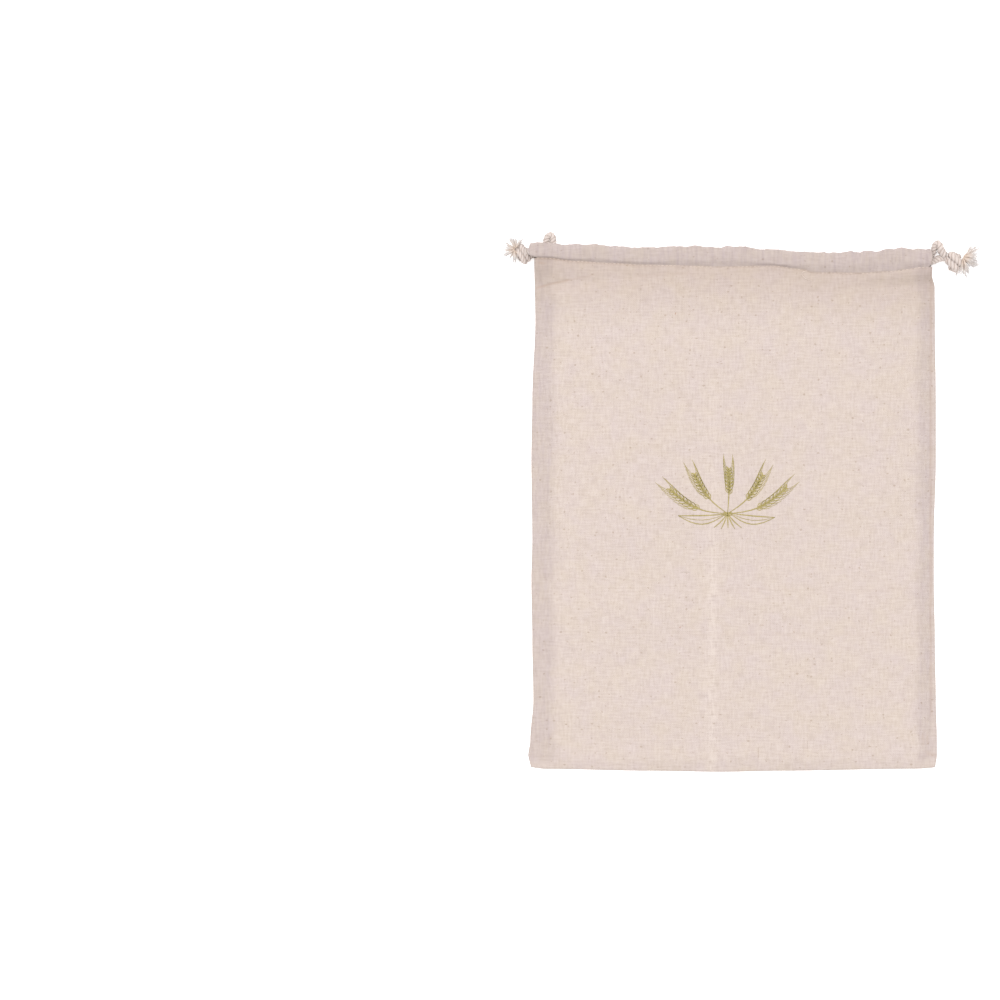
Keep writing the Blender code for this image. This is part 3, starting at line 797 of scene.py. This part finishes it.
def bag_cloth():
    """Points, faces, flat coordinates and marks of the cloth's middle surface. The front's grid runs on
    into its channel. The back's has a fourth of its rows and columns. Half an oval section joins them."""
    x, y = body_plan(0.0)
    body = np.stack([x, y, front_height(x, y)], axis=-1)
    front = np.concatenate([body, channel(x[-1], y[-1], FRONT_ENDS, FRONT_ROUND, True)])
    fewer = slice(None, None, BACK_EVERY)
    back_x, back_y = (each[fewer, fewer] for each in body_plan(BACK_DROOP))
    back = np.stack([back_x, back_y, np.full_like(back_x, BACK_WALL)], axis=-1)
    back = np.concatenate([back, channel(back_x[-1], back_y[-1], BACK_ENDS, BACK_ROUND, False)])
    front_index = np.arange(front[..., 0].size).reshape(front.shape[:2])
    back_index = front_index.size + np.arange(back[..., 0].size).reshape(back.shape[:2])
    rim = [(i, 0, -1, 0) for i in range(ROWS, 0, -1)] + [(0, 0, -0.7, -0.7)]
    rim += [(0, j, 0, -1) for j in range(1, COLUMNS)] + [(0, COLUMNS, 0.7, -0.7)]
    rim += [(i, COLUMNS, 1, 0) for i in range(1, ROWS + 1)]
    rows, cols, out_x, out_y = (np.array(each) for each in zip(*rim))
    upper = front[rows, cols]
    middle = np.concatenate([upper[:, :2], (upper[:, 2:] + BACK_WALL) / 2], axis=1)
    half = (upper[:, 2:] - BACK_WALL) / 2
    away = RIM_OUT * np.stack([out_x, out_y, 0 * out_x], axis=1)
    bands = []
    for turn in np.radians(RIM_TURNS):
        lift = np.concatenate([0 * half, 0 * half, half * math.sin(turn)], axis=1)
        bands.append(middle + away * math.cos(turn) + lift)
    first = front_index.size + back_index.size
    band_index = first + np.arange(len(bands) * len(rim)).reshape(len(bands), len(rim))
    joined = np.stack([front_index[rows, cols], *band_index])
    edge = back_index[rows[::BACK_EVERY] // BACK_EVERY, cols[::BACK_EVERY] // BACK_EVERY]
    spans = [slice(k, k + len(rim) - BACK_EVERY, BACK_EVERY) for k in range(BACK_EVERY + 1)]
    last = np.stack([band_index[-1, span] for span in spans])
    closing = np.concatenate([last, edge[None, 1:], edge[None, :-1]])[::-1].T
    points = np.concatenate([front.reshape(-1, 3), back.reshape(-1, 3), *bands])
    run = np.concatenate([front[:1, :, 1], front[:-1, :, 1] + np.linalg.norm(np.diff(front, axis=0), axis=2)])
    run[ROWS:] = run[ROWS] + np.cumsum(np.linalg.norm(np.diff(front[ROWS - 1 :], axis=0), axis=2), axis=0)
    flat = [np.stack([front[..., 0], run], axis=-1).reshape(-1, 2)]
    flat.append(np.stack([back[..., 0], -back[..., 1] - 450 - back[..., 2]], axis=-1).reshape(-1, 2))
    for k in range(len(bands)):
        flat.append(upper[:, :2] + 1.2 * (k + 1) * np.stack([out_x, out_y], axis=1))
    flat = np.concatenate(flat) * MM
    faces = [quads(front_index), quads(back_index)[:, ::-1], quads(joined)[:, ::-1], closing]
    uv = np.concatenate([flat[each.ravel()] for each in faces])
    return points, [face for each in faces for face in each.tolist()], uv


def cloth_marks(points):
    """Marks for each point: how far the stacked cloth of channels and seam bands greys it, with painted shade
    along the bottom fold; how much painted shade it gets below the front channel; how much painted shade it
    gets in creases, seam lines and the front's stitched line; and how worn a fold it is in."""
    x, y, z = points.T
    front = z > BACK_WALL + 0.6
    stitch = stitched(x)
    wander = x + 0.9 * np.sin(y / 13.0) + 0.6 * np.sin(y / 5.3 + 1.0)
    left_seam, right_seam = SEAM_BANDS
    seams = ramp(wander, left_seam + 4.0, left_seam - 4.5)
    seams = np.maximum(seams, ramp(wander, right_seam - 4.0, right_seam + 4.5))
    layers_and_fold_shade = BAND_SHARE * seams * ramp(y, -197.0, -186.0) * (1 - 0.4 * ramp(x, 148.4, 149.6))
    # Painted shade along the bottom fold, where the cloth turns down and no extra cloth lies.
    layers_and_fold_shade = np.maximum(layers_and_fold_shade, 0.25 * ramp(y, -186.0, -194.0))
    layers_and_fold_shade = np.where(y > stitch + 0.6, 1.0, layers_and_fold_shade)
    # Painted shade below the front channel, fading downwards.
    shaded = np.where(y > stitch + 0.6, 0.0, ramp(stitch - y, 52.0, -6.0))
    # Painted shade in the creases, along the seam lines and in the front's stitched line.
    crease_shade = sum(dark * near_line(x, y, line, wide * 0.9) for wide, _, dark, line in CREASES)
    crease_shade = np.maximum(crease_shade, eased(STITCH_SHADE, x) * np.exp(-(((y - stitch) / 0.85) ** 2)))
    worn = near_line(x, y, [(-15.4, 88.0), (-15.4, -197.0)], 3.6) * (0.4 + 0.6 * ramp(y, 10.0, -60.0))
    return layers_and_fold_shade, shaded, np.where(front, np.clip(crease_shade, 0, 1), 0), np.where(front, worn, 0)


def woven_linen(name, colours, roughness):
    """Unbleached linen and cotton in a plain weave, washed and pressed: matt, cream with faint warm and cool
    clouds, thick and thin threads both ways and a few brown bits of flax. Threads lie 0.75 mm apart, as they
    do in the cloth. Where four thicknesses of cloth lie together, the cloth is tinted and faintly striped.
    Painted shade darkens it along the bottom fold, below the front channel, in its creases and along its
    stitched line."""
    warm, cool, layered_and_fold_shade, shade, worn, crease_shade_tint, dark, pale, shive = map(linear, colours)
    made, tree, shader = surface(name, colours[0], roughness)
    flat = add(tree, "UVMap", uv_map="flat")
    place = add(tree, "TexCoord").outputs["Object"]
    cloud = add(tree, "TexNoise", {"Vector": place, "Scale": 60.0, "Detail": 4.0, "Roughness": 0.6})
    clouds = add(tree, "MapRange", {"Value": cloud, "From Min": 0.35, "From Max": 0.65})
    tone = add(tree, "MixRGB", {0: clouds, 1: warm, 2: cool})
    noises = {}
    for thread, across, along, detail in THREADS:
        way = add(tree, "Mapping", {"Vector": flat, "Scale": (1000 / across, 1000 / along, 1)})
        noises[thread] = add(tree, "TexNoise", {"Vector": way, "Scale": 1.0, "Detail": detail})
    slubs = add(tree, "Math", {0: noises["weft"], 1: noises["warp"]}, operation="ADD")
    dark_part = add(tree, "MapRange", {"Value": slubs, "From Min": 1.0, "From Max": 0.62, "To Max": 0.45})
    pale_part = add(tree, "MapRange", {"Value": slubs, "From Min": 1.0, "From Max": 1.38, "To Max": 0.45})
    tone = add(tree, "MixRGB", {0: dark_part, 1: tone, 2: dark})
    tone = add(tree, "MixRGB", {0: pale_part, 1: tone, 2: pale})
    bit = add(tree, "MapRange", {"Value": noises["bits"], "From Min": 0.74, "From Max": 0.82, "To Max": 0.45})
    tone = add(tree, "MixRGB", {0: bit, 1: tone, 2: shive})
    # Grey tint where four thicknesses of cloth lie together, with painted shade along the bottom fold.
    layers_and_fold_shade = add(tree, "Attribute", attribute_name="layers_and_fold_shade").outputs["Fac"]
    tone = add(tree, "MixRGB", {0: layers_and_fold_shade, 1: tone, 2: layered_and_fold_shade}, blend_type="MULTIPLY")
    stripe = add(tree, "MapRange", {"Value": noises["stripes"], "From Min": 0.45, "From Max": 0.7})
    striped = add(tree, "Math", {0: stripe, 1: layers_and_fold_shade}, operation="MULTIPLY")
    tone = add(tree, "MixRGB", {0: striped, 1: tone, 2: linear(LINEN_STRIPED)}, blend_type="MULTIPLY")
    # Painted shade below the front channel.
    shaded = add(tree, "Attribute", attribute_name="shaded").outputs["Fac"]
    tone = add(tree, "MixRGB", {0: shaded, 1: tone, 2: shade}, blend_type="MULTIPLY")
    worn_part = add(tree, "Attribute", attribute_name="worn").outputs["Fac"]
    patchy = add(tree, "MapRange", {"Value": slubs, "From Min": 0.75, "From Max": 1.2, "To Max": 0.8})
    worn_share = add(tree, "Math", {0: worn_part, 1: patchy}, operation="MULTIPLY")
    tone = add(tree, "MixRGB", {0: worn_share, 1: tone, 2: worn})
    # Painted shade in the creases, seam lines and stitched line.
    crease_shade = add(tree, "Attribute", attribute_name="crease_shade").outputs["Fac"]
    crease_shade_share = add(tree, "Math", {0: crease_shade, 1: 0.6}, operation="MULTIPLY")
    tone = add(tree, "MixRGB", {0: crease_shade_share, 1: tone, 2: crease_shade_tint})
    threads = add(tree, "SeparateXYZ", {0: flat})
    over = []
    for axis, drift in (("X", noises["weft"]), ("Y", noises["warp"])):
        counted = {0: threads.outputs[axis], 1: 1000 * math.pi / THREAD}
        turns = add(tree, "Math", counted, operation="MULTIPLY")
        drifted = add(tree, "Math", {0: drift, 1: 5.0, 2: turns}, operation="MULTIPLY_ADD")
        over.append(add(tree, "Math", {0: drifted}, operation="SINE"))
    weave = add(tree, "Math", {0: over[0], 1: over[1]}, operation="MULTIPLY")
    relief = add(tree, "Math", {0: slubs, 1: 1.6, 2: weave}, operation="MULTIPLY_ADD")
    bump = add(tree, "Bump", {"Height": relief, "Strength": 0.5, "Distance": 0.12 * MM})
    tree.links.new(tone.outputs[0], shader.inputs["Base Color"])
    tree.links.new(bump.outputs[0], shader.inputs["Normal"])
    shader.inputs["Sheen Weight"].default_value = 0.1
    shader.inputs["Sheen Roughness"].default_value = 0.5
    shader.inputs["Specular IOR Level"].default_value = 0.2
    return made


linen_colours = (
    LINEN_WARM,
    LINEN_COOL,
    LINEN_LAYERED_AND_FOLD_SHADE,
    LINEN_SHADED,
    LINEN_WORN,
    LINEN_CREASE_SHADE,
    LINEN_SLUB_DARK,
    LINEN_SLUB_PALE,
    LINEN_SHIVE,
)
linen = woven_linen("unbleached linen and cotton, plain woven", linen_colours, 0.92)
points, faces, uv = bag_cloth()
layers_and_fold_shade, shaded, crease_shade, worn = cloth_marks(points)
marks = {"layers_and_fold_shade": layers_and_fold_shade, "shaded": shaded, "crease_shade": crease_shade, "worn": worn}
cloth = put("bag_cloth_sheet", points, faces, linen, "linen_cloth", uv, **marks)
wall = cloth.modifiers.new("thickness", "SOLIDIFY")
wall.thickness = CLOTH_THICK * MM
wall.offset = 0.0
wall.use_even_offset = True
wall.use_quality_normals = True
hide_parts("bag_cloth")

# Print. One pass of olive ink, rubbed thin into the weave, at the middle of the front: a spray of five
# wheat ears and two leaves, tied with a band. The ink is a film on the tops of the threads.
PRINT_AT = (-4.1, 9.4)
INK_THICK = 0.05
INK_CLEAR = 0.1
TIE = (0.0, -14.0)
EARS = [  # x, y of the tip of an ear and how far its stem bows
    (-43.0, 4.0, 5.0),
    (-24.5, 14.8, 3.0),
    (0.8, 18.6, -0.6),
    (25.8, 14.2, -3.2),
    (43.6, 5.2, -5.0),
]
STEM_FEET = [(10.5, -24.6), (5.4, -25.4), (0.4, -24.9), (-4.8, -25.5), (-10.2, -24.4)]
LEAVES = [(-37.0, -15.5, 5.2), (35.5, -16.8, -5.0)]  # x, y of its point, bow
BANDS = [(-13.0, 3.1), (-14.1, 3.3), (-15.2, 3.1)]  # y, half width
GRAINS, FIRST_GRAIN = 8, 0.46
GRAIN_LONG, GRAIN_WIDE, GRAIN_LEAN = 5.6, 1.2, 24.0
AWN_LONG, AWN_LEAN = 8.5, 9.0
STEM_WIDE, FOOT_WIDE, BAND_WIDE = 0.85, 0.8, 0.9
THICK_SIDE, THIN_SIDE, MIDDLE_LINE, AWN_WIDE = 1.0, 0.6, 0.4, 0.42
LEAF_LINES = [(1.35, 0.75), (0.75, 0.45), (0.1, 0.9)]  # share of the leaf's bow, width
STROKE_POINTS = 9
INK_WARM, INK_COOL = "#a4955c", "#9f925d"
INK_DEEP, INK_RUBBED = "#8b7e4b", "#bfb08c"


def arcs(start, end, bow, share):
    """Places at shares of the way along shallow arcs. An arc is its chord pushed aside by half a sine."""
    chord = end - start
    long = np.linalg.norm(chord, axis=1, keepdims=True)
    aside = np.stack([-chord[:, 1], chord[:, 0]], axis=1) / long
    pushed = (bow * np.sin(np.pi * share[:, None])).T[..., None]
    return start[:, None] + chord[:, None] * share[:, None] + aside[:, None] * pushed


def turned_by(way, degrees):
    """Directions turned to the left."""
    c, s = math.cos(math.radians(degrees)), math.sin(math.radians(degrees))
    return np.stack([way[..., 0] * c - way[..., 1] * s, way[..., 0] * s + way[..., 1] * c], axis=-1)


def wheat_spray():
    """The start, end, bow and width of every stroke. Grains sit in pairs along the upper part of each
    stem, leaning outwards, each drawn as a thick and a thin side, a short middle line and an awn."""
    ears = np.array(EARS)
    tie = np.broadcast_to(TIE, (len(ears), 2)).astype(float)
    fine = np.linspace(0, 1, 201)
    stem = arcs(tie, ears[:, :2], ears[:, 2], fine)
    way = np.gradient(stem, axis=1)
    way /= np.linalg.norm(way, axis=2, keepdims=True)
    rows = [(tie, stem[:, 195], ears[:, 2], STEM_WIDE)]
    rows.append((np.array(STEM_FEET, float), tie, 0.06 * np.array(STEM_FEET)[:, 0], FOOT_WIDE))
    for side in (-1, 1):
        at = np.linspace(FIRST_GRAIN, 0.97, GRAINS) + 0.012 * side
        k = (at * 200).astype(int)
        size = (1 - 0.35 * np.abs(np.linspace(-0.7, 1, GRAINS)) ** 2)[None, :, None]
        root = (stem[:, k] + turned_by(way[:, k], 90 * side) * 0.35).reshape(-1, 2)
        lean = turned_by(way[:, k], GRAIN_LEAN * side)
        tip = root + (lean * GRAIN_LONG * size).reshape(-1, 2)
        wide = (GRAIN_WIDE * size + 0 * lean[..., :1]).ravel()
        longer = (0.8 + 0.35 * np.linspace(0, 1, GRAINS))[None, :, None]
        awn = turned_by(way[:, k], AWN_LEAN * side) * AWN_LONG * longer
        rows.append((root, tip, side * -wide, THICK_SIDE))
        rows.append((root, tip, side * wide, THIN_SIDE))
        rows.append((root + 0.2 * (tip - root), root + 0.72 * (tip - root), side * -0.25 * wide, MIDDLE_LINE))
        rows.append((tip, tip + awn.reshape(-1, 2), side * 0.4 + 0 * wide, AWN_WIDE))
    leaves = np.array(LEAVES)
    foot = np.array([TIE, TIE]) + np.sign(leaves[:, :1]) * (1.5, 0.4)
    for bow, width in LEAF_LINES:
        rows.append((foot, leaves[:, :2], bow * leaves[:, 2], width))
    bands = np.array(BANDS)
    ends = np.stack([bands[:, 1], bands[:, 0]], axis=1)
    rows.append((ends * (-1, 1), ends, 0 * bands[:, 0] - 0.35, BAND_WIDE))
    start, end, bow = (np.concatenate([row[n] for row in rows]) for n in range(3))
    return start, end, bow, np.concatenate([np.full(len(row[0]), row[3]) for row in rows])


def ink_film():
    """Points, faces and flat coordinates of the strokes as ribbons on the cloth. A ribbon narrows to
    half at both ends."""
    start, end, bow, width = wheat_spray()
    share = np.linspace(0, 1, STROKE_POINTS)
    line = arcs(start, end, bow, share) + np.array(PRINT_AT)
    way = np.gradient(line, axis=1)
    way /= np.linalg.norm(way, axis=2, keepdims=True)
    half = width[:, None] * (0.25 + 0.25 * np.sin(np.pi * share))[None, :]
    aside = turned_by(way, 90) * half[..., None]
    edges = np.stack([line + aside, line - aside], axis=2)
    z = front_height(edges[..., 0], edges[..., 1]) + CLOTH_THICK / 2 + INK_CLEAR
    points = np.concatenate([edges, z[..., None]], axis=-1)
    index = np.arange(z.size).reshape(z.shape)
    corners = index[:, :-1, 0], index[:, :-1, 1], index[:, 1:, 1], index[:, 1:, 0]
    faces = np.stack(corners, axis=-1).reshape(-1, 4)
    flat = points.reshape(-1, 3)[:, :2] * MM
    return points.reshape(-1, 3), faces.tolist(), flat[faces.ravel()]


ink_colours = (INK_WARM, INK_COOL, *linen_colours[2:6], INK_DEEP, INK_RUBBED, INK_DEEP)
ink = woven_linen("water-based olive ink, rubbed thin on linen", ink_colours, 0.85)
points, faces, uv = ink_film()
print_film = put("wheat_print", points, faces, ink, "linen_cloth", uv)
film = print_film.modifiers.new("thickness", "SOLIDIFY")
film.thickness = INK_THICK * MM
film.offset = 0.0

# Stitching. Lockstitch in undyed cotton thread holds down both channels, with a stitch every 3 mm. The
# end of one thread curls loose at the right of the front.
STITCH_LONG, STITCH_EVERY, STITCH_RADIUS = 2.3, 3.0, 0.2
STITCHED_FROM, STITCHED_TO = -147.0, 146.0
BACK_STITCH_Z = 0.3
LOOSE_THREAD = [  # x, y
    (55.5, 176.9),
    (53.2, 176.6),
    (51.6, 175.4),
    (51.8, 173.7),
    (53.7, 171.5),
    (56.3, 170.3),
    (59.2, 170.0),
]
LOOSE_RADIUS = 0.3
THREAD_COLOUR = "#cdbfb4"


def stitches(droop, height):
    """A row of stitches on a channel's line, each a short bead that dips at its ends."""
    x = np.arange(STITCHED_FROM, STITCHED_TO, STITCH_EVERY)[:, None] + np.linspace(0, STITCH_LONG, 7)[None, :]
    bead = np.sqrt(1 - np.linspace(-0.92, 0.92, 7) ** 2)[None, :]
    z = height(x, stitched(x, droop)) - STITCH_RADIUS * (1 - bead)
    return np.stack([x, stitched(x, droop), z], axis=-1), STITCH_RADIUS * bead + 0 * x


def above_front(x, y):
    """Height of the tops of the front's threads."""
    return front_height(x, y) + CLOTH_THICK / 2


def under_back(x, y):
    """Height of the back's stitches, which lie on what the bag lies on."""
    return BACK_STITCH_Z + 0 * x


sewing_cotton, _, _ = surface("undyed cotton sewing thread, twisted", THREAD_COLOUR, 0.9)
for side, droop, height in (("front", 0.0, above_front), ("back", BACK_DROOP, under_back)):
    points, faces, _ = tubes(*stitches(droop, height), 6)
    put(f"{side}_channel_stitching", points, faces, sewing_cotton, "linen_cloth")
loose = curve_through([(x, y, 0.0, LOOSE_RADIUS) for x, y in LOOSE_THREAD])
loose[:, 2] = above_front(loose[:, 0], loose[:, 1]) + LOOSE_RADIUS * 0.8
points, faces, _ = tubes(loose[None, :, :3], loose[None, :, 3] * np.linspace(1, 0.6, len(loose)), 8)
put("loose_thread", points, faces, sewing_cotton, "linen_cloth")

# Slubs and flax bits. A few thick threads and bits of brown stalk are spun into the yarn. They stand a
# little above the cloth.
SLUBS = [  # x, y, direction in degrees, length, width, colour
    (-43.1, 145.1, 70.0, 1.6, 0.8, "#a4826f"),
    (139.1, 142.1, 0.0, 1.5, 0.7, "#a08d80"),
    (124.9, 130.1, 90.0, 1.6, 0.7, "#a08d80"),
    (-8.6, 107.6, 0.0, 2.2, 0.6, "#ab9a8c"),
    (94.1, 28.1, 15.0, 1.7, 0.7, "#a48f80"),
    (-119.6, 10.1, 90.0, 1.7, 0.7, "#a48f80"),
    (-36.0, -48.4, 0.0, 7.0, 0.6, "#b0a298"),
    (-39.4, -89.6, 20.0, 1.6, 0.7, "#a4826f"),
    (21.4, -88.1, 0.0, 3.4, 0.6, "#ab9a8c"),
    (-124.9, -162.4, 0.0, 1.8, 0.9, "#94806e"),
    (19.1, -184.1, 90.0, 8.6, 0.6, "#ab9a8c"),
    (55.9, -178.1, 90.0, 6.0, 0.4, "#b7a99f"),
    (-72.0, 88.0, 0.0, 4.6, 0.5, "#b7a99f"),
    (66.0, 74.0, 90.0, 5.2, 0.45, "#b7a99f"),
    (-98.0, -34.0, 90.0, 5.8, 0.45, "#b7a99f"),
    (101.0, -128.0, 0.0, 5.0, 0.5, "#b7a99f"),
]
SLUB_PROUD = 0.14


def slub(x, y, direction, length, width):
    """The rings of one slub, a spindle half sunk in the cloth."""
    t = np.linspace(-1, 1, 9)
    turn = math.radians(direction)
    place_x, place_y = x + t * length / 2 * math.cos(turn), y + t * length / 2 * math.sin(turn)
    half = width / 2 * np.sqrt(1 - 0.96 * t**2)
    z = above_front(place_x, place_y) + SLUB_PROUD - half
    return np.stack([place_x, place_y, z], axis=-1)[None], half[None]


flax = {}
for n, colour in enumerate(sorted({row[5] for row in SLUBS})):
    flax[colour] = surface(f"flax bit spun into the yarn {n}", colour, 0.9)[0]
for n, (x, y, direction, length, width, colour) in enumerate(SLUBS):
    points, faces, _ = tubes(*slub(x, y, direction, length, width), 8)
    put(f"slub_{n}", points, faces, flax[colour], "linen_cloth")
